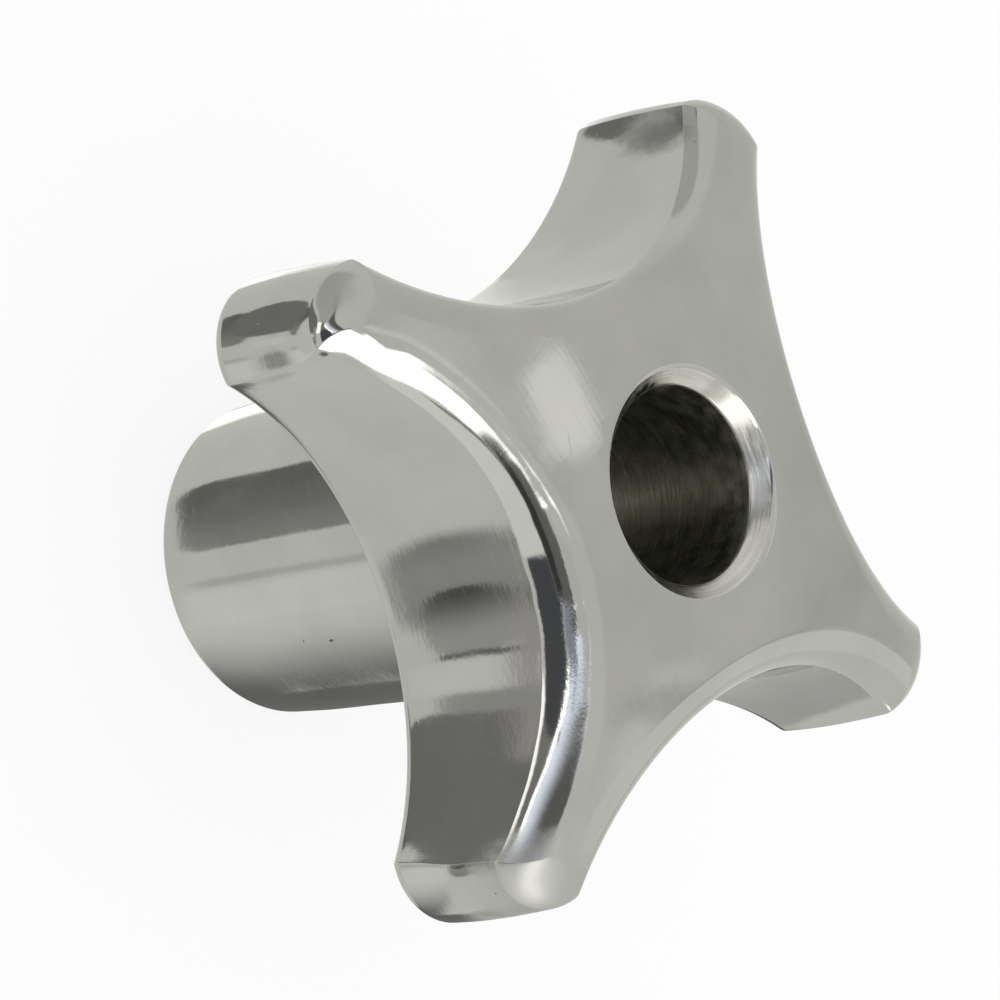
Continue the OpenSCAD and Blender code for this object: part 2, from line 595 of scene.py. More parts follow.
    def finish_by_hand(self, mesh: bpy.types.Mesh) -> None:
        """Ease the deep rounding of the first flank to the lighter one on the others.

        Args:
            mesh: the whole knob, changed in place.
        """
        count = len(mesh.vertices)
        co, ease = np.zeros(count * 3), np.zeros(count * 3)
        mesh.vertices.foreach_get("co", co)
        mesh.attributes["ease"].data.foreach_get("vector", ease)
        co, ease = co.reshape(-1, 3), ease.reshape(-1, 3)
        angle = np.degrees(np.arctan2(co[:, 1], co[:, 0]))
        out = co[:, :2] / np.hypot(co[:, 0], co[:, 1])[:, None]
        start, full, fade, end = self.deep_span
        deep = smooth(angle, start, full) * (1 - smooth(angle, fade, end))
        wobble = sum(a * np.sin(np.radians(angle) * f + p) for a, f, p in self.wobble)
        deep = deep * (1 + wobble)
        amount = (1 - deep)[:, None] * ease * MM
        co[:, 0] += amount[:, 0] * out[:, 0] - amount[:, 1] * out[:, 1]
        co[:, 1] += amount[:, 0] * out[:, 1] + amount[:, 1] * out[:, 0]
        co[:, 2] += amount[:, 2]
        for centre, reach, shift in self.dressed:
            gap = np.linalg.norm(co - np.array(centre) * MM, axis=1) / (reach * MM)
            co[:, :2] += np.exp(-gap * gap / 2)[:, None] * np.array(shift) * MM
        mesh.vertices.foreach_set("co", co.ravel())
        mesh.attributes.remove(mesh.attributes["ease"])
        mesh.update()

    def whole_mesh(self, finishes: dict[Finish, bpy.types.Material]) -> bpy.types.Mesh:
        """Set one arm round the axis and give every face its finish.

        Args:
            finishes: material of each finish.

        Returns:
            The knob's mesh in metres.
        """
        source = bpy.data.objects.new("knob_source", self.quarter_mesh())
        bpy.context.scene.collection.objects.link(source)
        ring = source.modifiers.new("arms", "NODES")
        ring.node_group = arm_ring_tree(finishes)
        ports = ring.node_group.interface.items_tree
        ids = {port.name: port.identifier for port in ports if port.in_out == "INPUT"}
        ring[ids["Arms"]] = self.arms
        ring[ids["Join Distance"]] = self.join_gap * MM
        graph = bpy.context.evaluated_depsgraph_get()
        mesh = bpy.data.meshes.new_from_object(source.evaluated_get(graph))
        bpy.data.objects.remove(source)
        return mesh

    def build(self) -> bpy.types.Object:
        """Build the knob's one piece, dress it and tie it to the frame.

        Returns:
            The finished piece.
        """
        effects = Effects()
        finishes = {finish: kind(effects).build() for finish, kind in FINISH_KINDS.items()}
        mesh = self.whole_mesh(finishes)
        mesh.name = "knob_body"
        self.finish_by_hand(mesh)
        mesh.shade_smooth()
        knob = bpy.data.objects.new("knob_body", mesh)
        bpy.context.scene.collection.objects.link(knob)
        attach(knob, "root")
        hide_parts("star_knob")
        return knob


@dataclass(frozen=True)
class View:
    """The camera of the photograph, in the part's frame."""

    place: tuple[float, float, float] = (177.2818, -277.2516, 349.2907)
    right: tuple[float, float, float] = (-0.223921, 0.678557, 0.699586)
    up: tuple[float, float, float] = (-0.895188, -0.427016, 0.127652)
    lens: float = 232.89
    sensor: float = 36.0
    clip: tuple[float, float] = (0.01, 20.0)

    def build(self) -> bpy.types.Object:
        """Create the camera and make it the scene's own.

        Returns:
            The camera.
        """
        data = bpy.data.cameras.new("camera")
        data.lens = self.lens
        data.sensor_width = self.sensor
        data.clip_start, data.clip_end = self.clip
        camera = bpy.data.objects.new("camera", data)
        right, up = Vector(self.right).normalized(), Vector(self.up).normalized()
        back = right.cross(up)
        turn = Matrix((right, up, back)).transposed().to_4x4()
        camera.matrix_world = Matrix.Translation(Vector(self.place) * MM) @ turn
        bpy.context.scene.collection.objects.link(camera)
        bpy.context.scene.camera = camera
        return camera


def srgb(value: float) -> float:
    """Return the linear level of a display level from 0 to 255."""
    c = value / 255.0
    return c / 12.92 if c <= 0.04045 else ((c + 0.055) / 1.055) ** 2.4


class NodeKit:
    """Short calls for the nodes of one tree."""

    def __init__(self, tree: bpy.types.NodeTree) -> None:
        """Keep the tree that the nodes go into."""
        self.tree = tree

    def new(self, kind: str, **values: object) -> bpy.types.Node:
        """Add a node and set the named properties on it.

        Args:
            kind: Blender's name for the kind of node.
            **values: properties to set on it.

        Returns:
            The node.
        """
        node = self.tree.nodes.new(kind)
        for key, value in values.items():
            setattr(node, key, value)
        return node

    def feed(self, node: bpy.types.Node, slot: object, value: object) -> None:
        """Link a socket into an input, or set the input's own value.

        Args:
            node: node to feed.
            slot: name or number of its input.
            value: an output socket, or a plain value.
        """
        target = node.inputs[slot]
        if isinstance(value, bpy.types.NodeSocket):
            self.tree.links.new(value, target)
        else:
            target.default_value = value

    def math(self, operation: str, *args: object) -> bpy.types.NodeSocket:
        """Add a Math node and return its output.

        Args:
            operation: Blender's name for the operation.
            *args: sockets or numbers, in the node's order.

        Returns:
            The node's output.
        """
        node = self.new("ShaderNodeMath", operation=operation)
        for i, value in enumerate(args):
            self.feed(node, i, value)
        return node.outputs[0]

    def vector(
        self, operation: str, *args: object, result: str = "Vector", scale: float = 1.0
    ) -> bpy.types.NodeSocket:
        """Add a Vector Math node and return one output.

        Args:
            operation: Blender's name for the operation.
            *args: sockets or vectors, in the node's order.
            result: name of the output.
            scale: factor, used by SCALE alone.

        Returns:
            The node's output.
        """
        node = self.new("ShaderNodeVectorMath", operation=operation)
        for i, value in enumerate(args):
            self.feed(node, i, value)
        if operation == "SCALE":
            self.feed(node, 3, scale)
        return node.outputs[result]

    def triple(self, value: bpy.types.NodeSocket) -> bpy.types.NodeSocket:
        """Return a vector with the value on all three axes.

        Args:
            value: the value.

        Returns:
            The node's output.
        """
        node = self.new("ShaderNodeCombineXYZ")
        for axis in "XYZ":
            self.feed(node, axis, value)
        return node.outputs[0]

    def noise(self, spot: object, scale: float, detail: float) -> bpy.types.NodeSocket:
        """Return a noise value, from 0 to 1, at the place.

        Args:
            spot: the place.
            scale: cells for each unit of length.
            detail: number of finer layers.

        Returns:
            The node's output.
        """
        node = self.new("ShaderNodeTexNoise")
        self.feed(node, "Vector", spot)
        self.feed(node, "Scale", scale)
        self.feed(node, "Detail", detail)
        return node.outputs["Fac"]

    def scale(self, value: object, by: object) -> bpy.types.NodeSocket:
        """Return the value times a factor."""
        return self.math("MULTIPLY", value, by)

    def ramp(
        self, value: object, low: object, high: object, a: object = 0.0, b: object = 1.0
    ) -> bpy.types.NodeSocket:
        """Return a smooth step of the value between two levels.

        Args:
            value: the value.
            low: level at which the step starts.
            high: level at which it ends.
            a: result below low.
            b: result above high.

        Returns:
            The node's output.
        """
        node = self.new("ShaderNodeMapRange", interpolation_type="SMOOTHSTEP")
        slots = ("Value", "From Min", "From Max", "To Min", "To Max")
        for slot, v in zip(slots, (value, low, high, a, b)):
            self.feed(node, slot, v)
        return node.outputs["Result"]

    def either(self, share: object, a: object, b: object) -> bpy.types.NodeSocket:
        """Return a shader mix of a and b.

        Args:
            share: how much of b, from 0 to 1.
            a: first shader.
            b: second shader.

        Returns:
            The node's output.
        """
        node = self.new("ShaderNodeMixShader")
        for slot, v in enumerate((share, a, b)):
            self.feed(node, slot, v)
        return node.outputs[0]

    def blend(self, share: object, a: object, b: object) -> bpy.types.NodeSocket:
        """Return a colour mix of a and b.

        Args:
            share: how much of b, from 0 to 1.
            a: first colour.
            b: second colour.

        Returns:
            The node's output.
        """
        node = self.new("ShaderNodeMix", data_type="RGBA")
        for slot, v in ((0, share), (6, a), (7, b)):
            self.feed(node, slot, v)
        return node.outputs[2]


@dataclass(frozen=True)
class Card:
    """A studio panel as the metal sees it: a rounded patch of light or shade.

    Attributes:
        azimuth: direction round the bore's axis, in degrees from +X.
        elevation: height above the level of the arms, in degrees.
        half_width: half of its extent in azimuth.
        half_height: half of its extent in elevation.
        level: display level that the steel shows where it mirrors the panel.
        slant: degrees of azimuth that it leans for each degree of elevation.
        squash: how much flatter than round its corners are.
        corner: radius of its corners in azimuth.
        soft: width of its edge.
        tint: colour of the panel.
        glow: level at its far edge in azimuth, or 0 where the panel is even.
        glow_width: degrees over which it brightens to that level.
        glow_tint: colour at that edge.
    """

    azimuth: float
    elevation: float
    half_width: float
    half_height: float
    level: float
    slant: float = 0.0
    corner: float = 6.0
    soft: float = 2.0
    tint: tuple[float, float, float] = STEEL_TINT
    glow: float = 0.0
    glow_width: float = 10.0
    glow_tint: tuple[float, float, float] = BLUE_GLOW
    squash: float = 1.0


CARD_PORTS = {
    "Centre Azimuth": "azimuth", "Centre Elevation": "elevation", "Half Width": "half_width",
    "Half Height": "half_height", "Slant": "slant", "Corner": "corner", "Softness": "soft",
    "Glow Width": "glow_width", "Squash": "squash",
}


@dataclass(frozen=True)
class Studio:
    """Plain soft studio: an even pale tent with panels that show in the polish."""

    steel_level: float = 0.56
    tent: float = 172.0
    daylight: float = 1.0
    over_white: int = 12
    cards: tuple[Card, ...] = (
        # far walls, a little dimmer than the tent
        Card(140.0, 25.0, 48.0, 45.0, 164.0, corner=20.0, soft=14.0),
        # far side, seen in the face and in the far roundings
        Card(149.0, 74.0, 15.0, 10.0, 184.0, corner=8.0, soft=10.0),
        Card(135.0, 55.8, 6.8, 3.2, 199.0, corner=2.6, soft=2.0),
        Card(117.0, 22.0, 8.0, 9.0, 157.0, corner=6.0, soft=8.0),
        Card(93.0, 25.0, 13.5, 25.2, 179.0, corner=8.0, soft=2.5),
        Card(107.5, 36.0, 1.8, 16.0, 152.0, slant=-0.55, corner=1.5, soft=2.5),
        # pale bounce card beside the camera
        Card(-6.5, 5.0, 26.5, 25.0, 190.0, corner=9.0, soft=1.5),
        # dark ceiling, with the glow of the strip light on it
        Card(
            -82.1, 42.0, 24.0, 36.0, 82.0, slant=1.04, corner=3.0, soft=3.0,
            glow=228.0, glow_width=30.0,
        ),
        Card(-28.0, 66.0, 15.0, 9.5, 168.0, corner=5.0, soft=4.0),
        Card(-50.0, 44.0, 7.0, 8.5, 128.0, corner=4.0, soft=5.0, tint=(0.92, 0.99, 1.12)),
        # far side of the studio, seen in the tips' rounding
        Card(-130.0, -2.0, 26.0, 17.0, 149.0, corner=8.0, soft=4.0),
        # dark room behind the camera
        Card(-70.3, 13.0, 18.0, 21.0, 104.0, slant=1.04, corner=2.0, soft=3.0),
        Card(-54.0, 11.5, 20.5, 20.0, 64.0, corner=4.0, soft=3.0, tint=(0.96, 1.0, 1.06)),
        Card(-26.0, 42.0, 18.0, 13.5, 88.0, corner=4.0, soft=2.5),
        Card(-25.5, 35.0, 15.5, 5.0, 50.0, corner=4.0, soft=3.0),
        Card(-4.0, 20.5, 2.4, 8.0, 105.0, slant=-0.92, corner=1.0, soft=2.0),
        # strip light
        Card(-77.0, 21.0, 2.6, 17.0, 264.0, slant=1.04, corner=2.0, soft=3.0),
        # soft box
        Card(8.5, 43.0, 16.5, 18.5, 262.0, corner=8.0, soft=3.0),
        Card(20.0, 58.0, 11.0, 16.0, 262.0, corner=10.0, soft=8.0),
        Card(23.5, 9.0, 11.0, 20.0, 262.0, slant=-0.74, corner=3.0),
        # light low on the -Y side, seen along the near crease
        Card(-86.0, -18.5, 20.0, 9.5, 248.0, corner=5.0, soft=4.0),
        # dark panels low on the -Y side, seen in the hub and the near flank
        Card(
            -98.5, -51.0, 26.5, 4.0, 88.0, corner=10.0, squash=3.0, soft=2.0,
            glow=116.0, glow_width=40.0, glow_tint=CREAM_GLOW,
        ),
        Card(-47.5, -51.0, 2.6, 3.5, 155.0, corner=2.5, soft=3.0),
        Card(-27.0, -51.5, 15.0, 4.5, 182.0, corner=4.0, soft=5.0),
        Card(-100.5, -37.0, 24.0, 13.5, 99.0, corner=20.0, squash=2.5, soft=1.5),
        Card(-66.0, -31.8, 28.0, 4.4, 133.0, corner=4.0, soft=2.5, tint=(1.03, 0.99, 0.95)),
        Card(-73.6, -38.5, 3.2, 3.9, 128.0, corner=2.0, soft=1.5),
        Card(
            -35.5, -39.5, 15.5, 5.2, 124.0, corner=10.0, squash=2.0, soft=5.0,
            glow=112.0, glow_width=12.0, glow_tint=CREAM_GLOW,
        ),
        Card(-65.0, -41.4, 5.0, 4.6, 177.0, corner=1.5, soft=1.5),
        Card(
            -48.2, -39.0, 11.2, 3.6, 135.0, corner=8.5, squash=2.5, soft=1.0,
            glow=62.0, glow_width=17.0, glow_tint=CREAM_GLOW,
        ),
        Card(-58.7, -38.8, 0.9, 2.8, 84.0, corner=0.8, soft=0.8),
        # shaded floor on the +Y side, seen in the hub and under the right arm
        Card(
            22.5, -52.7, 37.5, 4.8, 178.0, corner=1.0, soft=2.0,
            glow=89.0, glow_width=74.0, glow_tint=(1.0, 1.0, 0.96),
        ),
        Card(89.0, -52.5, 31.0, 7.5, 87.0, corner=8.0, soft=3.0),
        Card(79.0, -40.0, 23.5, 4.6, 145.0, corner=4.0, soft=3.0),
        Card(155.0, -49.0, 16.0, 4.4, 238.0, corner=4.0, soft=4.0),
    )

    def card_group(self) -> bpy.types.NodeTree:
        """Build the node group that masks one panel.

        Returns:
            The tree, whose outputs are the mask and the glow inside it.
        """
        tree = bpy.data.node_groups.new("Studio Card", "ShaderNodeTree")
        for name in ("Azimuth", "Elevation", *CARD_PORTS):
            tree.interface.new_socket(name, in_out="INPUT", socket_type="NodeSocketFloat")
        for name in ("Mask", "Glow"):
            tree.interface.new_socket(name, in_out="OUTPUT", socket_type="NodeSocketFloat")
        kit = NodeKit(tree)
        gin, gout = kit.new("NodeGroupInput").outputs, kit.new("NodeGroupOutput")
        y = kit.math("SUBTRACT", gin["Elevation"], gin["Centre Elevation"])
        x = kit.math("SUBTRACT", gin["Azimuth"], gin["Centre Azimuth"])
        x = kit.math("SUBTRACT", x, kit.math("MULTIPLY", gin["Slant"], y))
        x = kit.math("WRAP", x, 180.0, -180.0)
        y = kit.math("MULTIPLY", y, gin["Squash"])
        half_height = kit.math("MULTIPLY", gin["Half Height"], gin["Squash"])
        sides = []
        for axis, half in ((x, gin["Half Width"]), (y, half_height)):
            inner = kit.math("SUBTRACT", half, gin["Corner"])
            sides.append(kit.math("SUBTRACT", kit.math("ABSOLUTE", axis), inner))
        outside = [kit.math("MAXIMUM", s, 0.0) for s in sides]
        far = kit.math("SQRT", kit.math("ADD", *(kit.math("POWER", s, 2.0) for s in outside)))
        near = kit.math("MINIMUM", kit.math("MAXIMUM", *sides), 0.0)
        edge = kit.math("SUBTRACT", kit.math("ADD", far, near), gin["Corner"])
        low = kit.math("MULTIPLY", gin["Softness"], -0.5)
        high = kit.math("MULTIPLY", gin["Softness"], 0.5)
        kit.feed(gout, "Mask", kit.ramp(edge, low, high, 1.0, 0.0))
        dim = kit.math("SUBTRACT", gin["Half Width"], gin["Glow Width"])
        kit.feed(gout, "Glow", kit.ramp(x, dim, gin["Half Width"]))
        return tree

    def build(self) -> bpy.types.World:
        """Build the world: white to the camera, even light on the floor, panels in the metal.

        Returns:
            The world.
        """
        world = bpy.data.worlds.new("studio")
        bpy.context.scene.world = world
        world.use_nodes = True
        world.cycles.sampling_method = "NONE"
        world.node_tree.nodes.clear()
        kit = NodeKit(world.node_tree)
        way = kit.new("ShaderNodeTexCoord").outputs["Generated"]
        split = kit.new("ShaderNodeSeparateXYZ")
        kit.feed(split, 0, kit.vector("NORMALIZE", way))
        turn = kit.math("ARCTAN2", split.outputs["Y"], split.outputs["X"])
        azimuth = kit.math("DEGREES", turn)
        elevation = kit.math("DEGREES", kit.math("ARCSINE", split.outputs["Z"]))
        group = self.card_group()
        tone = self.radiance(self.tent, STEEL_TINT)
        for card in self.cards:
            node = kit.new("ShaderNodeGroup", node_tree=group)
            kit.feed(node, "Azimuth", azimuth)
            kit.feed(node, "Elevation", elevation)
            for port, size in CARD_PORTS.items():
                kit.feed(node, port, getattr(card, size))
            panel = self.radiance(card.level, card.tint)
            if card.glow:
                far_edge = self.radiance(card.glow, card.glow_tint)
                panel = kit.blend(node.outputs["Glow"], panel, far_edge)
            tone = kit.blend(node.outputs["Mask"], tone, panel)
        path = kit.new("ShaderNodeLightPath").outputs
        last = self.backdrop(kit, (self.daylight,) * 3 + (1.0,))
        for ray, colour in (("Is Camera Ray", WHITE), ("Is Glossy Ray", tone)):
            last = kit.either(path[ray], last, self.backdrop(kit, colour))
        out = kit.new("ShaderNodeOutputWorld")
        kit.feed(out, "Surface", last)
        return world

    @staticmethod
    def backdrop(kit: NodeKit, colour: object) -> bpy.types.NodeSocket:
        """Add a background of one colour and return its output.

        Args:
            kit: kit of the world's nodes.
            colour: a colour, or a socket that gives it.

        Returns:
            The node's output.
        """
        back = kit.new("ShaderNodeBackground")
        kit.feed(back, "Color", colour)
        return back.outputs[0]

    def radiance(self, level: float, tint: tuple[float, float, float]) -> tuple[float, ...]:
        """Return the colour of a panel that the steel shows at a display level.

        Args:
            level: display level, which may pass 255.
            tint: colour of the panel.

        Returns:
            The colour with its alpha.
        """
        value = srgb(min(level, 255.0)) * max(level / 255.0, 1.0) ** self.over_white
        value /= self.steel_level
        return tuple(value * t for t in tint) + (1.0,)


@dataclass(frozen=True)
class Floor:
    """Plain pale floor under the hub's end."""

    size: float = 6.0
    colour: tuple[float, float, float, float] = (0.98, 0.98, 0.98, 1.0)
    wash: float = 0.82

    def build(self) -> bpy.types.Object:
        """Build the floor; polished metal sees past it to the studio.

        Returns:
            The floor.
        """
        half = self.size / 2
        corners = [(-half, -half, 0), (half, -half, 0), (half, half, 0), (-half, half, 0)]
        mesh = bpy.data.meshes.new("floor")
        mesh.from_pydata(corners, [], [(0, 1, 2, 3)])
        floor = bpy.data.objects.new("floor", mesh)
        bpy.context.scene.collection.objects.link(floor)
        material = bpy.data.materials.new("pale_floor")
        material.use_nodes = True
        kit = NodeKit(material.node_tree)
        material.node_tree.nodes.clear()
        matte = kit.new("ShaderNodeBsdfDiffuse")
        kit.feed(matte, "Color", self.colour)
        clear = kit.new("ShaderNodeBsdfTransparent").outputs[0]
        glow = kit.new("ShaderNodeEmission").outputs[0]
        path = kit.new("ShaderNodeLightPath").outputs
        washed = kit.scale(path["Is Camera Ray"], self.wash)
        pale = kit.either(washed, matte.outputs[0], glow)
        out = kit.new("ShaderNodeOutputMaterial")
        kit.feed(out, "Surface", kit.either(path["Is Glossy Ray"], pale, clear))
        mesh.materials.append(material)
        return floor


class Effects:
    """Shader node groups for the wear and working marks that several finishes share."""

    def __init__(self) -> None:
        """Build every group once."""
        self.spot = self.spot_mark()
        self.grain = self.polish_grain()
        self.waves = self.hand_waves()
        self.scratch = self.fine_scratches()
        self.pits = self.casting_pits()
        self.wear = self.edge_wear()
        self.turning = self.turning_lines()

    @staticmethod
    def open_group(
        name: str, inputs: tuple[tuple[str, str], ...], outputs: tuple[str, ...]
    ) -> tuple[bpy.types.NodeTree, NodeKit, bpy.types.NodeOutputs, bpy.types.Node]:
        """Start a shader node group.

        Args:
            name: name of the group.
            inputs: name and kind of each input.
            outputs: names of the outputs, all plain values.

        Returns:
            The tree, its kit, the inner side of its inputs and its output node.
        """
        tree = bpy.data.node_groups.new(name, "ShaderNodeTree")
        for label, kind in inputs:
            tree.interface.new_socket(label, in_out="INPUT", socket_type="NodeSocket" + kind)
        for label in outputs:
            tree.interface.new_socket(label, in_out="OUTPUT", socket_type="NodeSocketFloat")
        kit = NodeKit(tree)
        return tree, kit, kit.new("NodeGroupInput").outputs, kit.new("NodeGroupOutput")

    def spot_mark(self) -> bpy.types.NodeTree:
        """Build the mask of a soft blot round one place.

        Returns:
            The group's tree.
        """
        vectors, values = ("Position", "Centre", "Stretch"), ("Radius", "Softness", "Raggedness", "Noise")
        ports = tuple((n, "Vector") for n in vectors) + tuple((n, "Float") for n in values)
        tree, kit, gin, gout = self.open_group("Spot Mark", ports, ("Mask",))
        away = kit.vector("SUBTRACT", gin["Position"], gin["Centre"])
        away = kit.vector("MULTIPLY", away, gin["Stretch"])
        gap = kit.vector("LENGTH", away, result="Value")
        rag = kit.math("MULTIPLY", kit.math("SUBTRACT", gin["Noise"], 0.5), gin["Raggedness"])
        edge = kit.math("SUBTRACT", kit.math("ADD", gap, rag), gin["Radius"])
        low = kit.math("MULTIPLY", gin["Softness"], -1.0)
        kit.feed(gout, "Mask", kit.ramp(edge, low, gin["Softness"], 1.0, 0.0))
        return tree

    def polish_grain(self) -> bpy.types.NodeTree:
        """Build the fine parallel lines left by polishing belts.

        Returns:
            The group's tree.
        """
        ports = (
            ("Position", "Vector"), ("Heading", "Float"), ("Lines per mm", "Float"), ("Length", "Float")
        )
        tree, kit, gin, gout = self.open_group("Polish Grain", ports, ("Height", "Streaks"))
        turn = kit.new("ShaderNodeVectorRotate", rotation_type="Z_AXIS")
        kit.feed(turn, "Vector", gin["Position"])
        kit.feed(turn, "Angle", gin["Heading"])
        size = kit.new("ShaderNodeCombineXYZ")
        kit.feed(size, "X", kit.math("DIVIDE", gin["Lines per mm"], gin["Length"]))
        kit.feed(size, "Y", gin["Lines per mm"])
        kit.feed(size, "Z", gin["Lines per mm"])
        spot = kit.vector("MULTIPLY", turn.outputs[0], size.outputs[0])
        fine = kit.noise(spot, 1.0, 2.0)
        broad = kit.noise(spot, 0.22, 1.0)
        kit.feed(gout, "Height", kit.math("ADD", kit.scale(fine, 0.6), kit.scale(broad, 0.8)))
        kit.feed(gout, "Streaks", kit.ramp(fine, 0.54, 0.72))
        return tree

    def hand_waves(self) -> bpy.types.NodeTree:
        """Build the slow unevenness of a face polished by hand.

        Returns:
            The group's tree.
        """
        ports = (("Position", "Vector"), ("Wave Length", "Float"))
        tree, kit, gin, gout = self.open_group("Hand Waves", ports, ("Height", "Cloud"))
        spot = kit.vector("DIVIDE", gin["Position"], kit.triple(gin["Wave Length"]))
        slow = kit.noise(spot, 1.0, 0.0)
        mid = kit.noise(spot, 2.7, 0.0)
        kit.feed(gout, "Height", kit.math("ADD", slow, kit.math("MULTIPLY", mid, 0.22)))
        kit.feed(gout, "Cloud", kit.ramp(kit.noise(spot, 1.9, 4.0), 0.3, 0.7))
        return tree

    def fine_scratches(self) -> bpy.types.NodeTree:
        """Build sparse hair scratches that cross each other.

        Returns:
            The group's tree.
        """
        ports = (("Position", "Vector"), ("Amount", "Float"))
        tree, kit, gin, gout = self.open_group("Fine Scratches", ports, ("Mask",))
        low = kit.math("SUBTRACT", 0.78, kit.scale(gin["Amount"], 0.1))
        mask: object = 0.0
        sets = ((0.5, (0.16, 4.2, 4.2)), (1.9, (0.22, 5.1, 5.1)), (2.6, (0.12, 3.4, 3.4)))
        for heading, size in sets:
            turn = kit.new("ShaderNodeVectorRotate", rotation_type="Z_AXIS")
            kit.feed(turn, "Vector", gin["Position"])
            kit.feed(turn, "Angle", heading)
            line = kit.noise(kit.vector("MULTIPLY", turn.outputs[0], size), 1.0, 1.0)
            mask = kit.math("MAXIMUM", mask, kit.ramp(line, low, kit.math("ADD", low, 0.04)))
        kit.feed(gout, "Mask", mask)
        return tree

    def casting_pits(self) -> bpy.types.NodeTree:
        """Build small pits strewn at random.

        Returns:
            The group's tree.
        """
        ports = (("Position", "Vector"), ("Spacing", "Float"), ("Radius", "Float"), ("Share", "Float"))
        tree, kit, gin, gout = self.open_group("Casting Pits", ports, ("Mask",))
        cells = kit.new("ShaderNodeTexVoronoi", feature="F1")
        kit.feed(cells, "Vector", kit.vector("DIVIDE", gin["Position"], kit.triple(gin["Spacing"])))
        kit.feed(cells, "Scale", 1.0)
        gap = kit.math("MULTIPLY", cells.outputs["Distance"], gin["Spacing"])
        split = kit.new("ShaderNodeSeparateColor")
        kit.feed(split, 0, cells.outputs["Color"])
        kept = kit.math("LESS_THAN", split.outputs[0], gin["Share"])
        size = kit.math("MULTIPLY", gin["Radius"], kit.math("ADD", split.outputs[1], 0.4))
        hole = kit.ramp(gap, kit.math("MULTIPLY", size, 0.5), size, 1.0, 0.0)
        kit.feed(gout, "Mask", kit.math("MULTIPLY", hole, kept))
        return tree

    def edge_wear(self) -> bpy.types.NodeTree:
        """Build the mask of edges rubbed in handling.

        Returns:
            The group's tree.
        """
        ports = (("Position", "Vector"), ("Reach", "Float"))
        tree, kit, gin, gout = self.open_group("Edge Wear", ports, ("Mask",))
        bend = kit.new("ShaderNodeNewGeometry").outputs["Pointiness"]
        ragged = kit.math("SUBTRACT", kit.noise(gin["Position"], 0.9, 3.0), 0.5)
        ragged = kit.scale(ragged, 0.03)
        kit.feed(gout, "Mask", kit.ramp(kit.math("ADD", bend, ragged), 0.51, gin["Reach"]))
        return tree

    def turning_lines(self) -> bpy.types.NodeTree:
        """Build the rings that a lathe tool leaves round the bore's axis.

        Returns:
            The group's tree.
        """
        ports = (("Position", "Vector"), ("Lines per mm", "Float"), ("Drift", "Float"))
        tree, kit, gin, gout = self.open_group("Turning Lines", ports, ("Height", "Tone"))
        split = kit.new("ShaderNodeSeparateXYZ")
        kit.feed(split, 0, gin["Position"])
        join = kit.new("ShaderNodeCombineXYZ")
        kit.feed(join, "X", kit.math("MULTIPLY", split.outputs["X"], gin["Drift"]))
        kit.feed(join, "Y", kit.math("MULTIPLY", split.outputs["Y"], gin["Drift"]))
        kit.feed(join, "Z", kit.math("MULTIPLY", split.outputs["Z"], gin["Lines per mm"]))
        fine = kit.noise(join.outputs[0], 1.0, 2.0)
        kit.feed(gout, "Height", fine)
        kit.feed(gout, "Tone", kit.ramp(kit.noise(join.outputs[0], 0.45, 3.0), 0.35, 0.65))
        return tree


@dataclass(frozen=True)
class Blot:
    """A mark at one place on the casting, in millimetres."""

    centre: tuple[float, float, float]
    radius: float
    softness: float
    stretch: tuple[float, float, float] = (1.0, 1.0, 1.0)
    raggedness: float = 0.0


class FinishBase:
    """What the three finishes share: one Principled shader and the effects that feed it."""

    name = "steel"
    ragged_scale = 1.3

    def __init__(self, effects: Effects) -> None:
        """Start the material with its position in millimetres.

        Args:
            effects: the groups that the finishes share.
        """
        self.effects = effects
        self.material = bpy.data.materials.new(self.name)
        self.material.use_nodes = True
        self.kit = NodeKit(self.material.node_tree)
        self.shader = self.material.node_tree.nodes["Principled BSDF"]
        self.kit.feed(self.shader, "Metallic", 1.0)
        place = self.kit.new("ShaderNodeTexCoord").outputs["Object"]
        self.spot = self.kit.vector("SCALE", place, scale=1.0 / MM)
        self.ragged = self.kit.noise(self.spot, self.ragged_scale, 3.0)

    def use(self, tree: bpy.types.NodeTree, **values: object) -> bpy.types.NodeOutputs:
        """Add one of the effect groups and return its outputs; spaces in names are given as _.

        Args:
            tree: the group.
            **values: its inputs, by name.

        Returns:
            The group's outputs.
        """
        node = self.kit.new("ShaderNodeGroup", node_tree=tree)
        self.kit.feed(node, "Position", self.spot)
        for key, value in values.items():
            self.kit.feed(node, key.replace("_", " "), value)
        return node.outputs

    def blots(self, marks: tuple[Blot, ...]) -> bpy.types.NodeSocket:
        """Return one mask that covers all the marks.

        Args:
            marks: the marks.

        Returns:
            The mask, from 0 to 1.
        """
        mask: object = 0.0
        for mark in marks:
            out = self.use(
                self.effects.spot, Centre=mark.centre, Stretch=mark.stretch, Radius=mark.radius,
                Softness=mark.softness, Raggedness=mark.raggedness, Noise=self.ragged,
            )
            mask = self.kit.math("MAXIMUM", mask, out["Mask"])
        return mask

    def bump(self, height: object, distance: float, below: object = None) -> bpy.types.NodeSocket:
        """Add a Bump node.

        Args:
            height: the height, from 0 to 1.
            distance: how far a height of 1 stands up, in millimetres.
            below: normal that the bump is laid on.

        Returns:
            The bumped normal.
        """
        node = self.kit.new("ShaderNodeBump")
        self.kit.feed(node, "Height", height)
        self.kit.feed(node, "Distance", distance * MM)
        if below is not None:
            self.kit.feed(node, "Normal", below)
        return node.outputs[0]


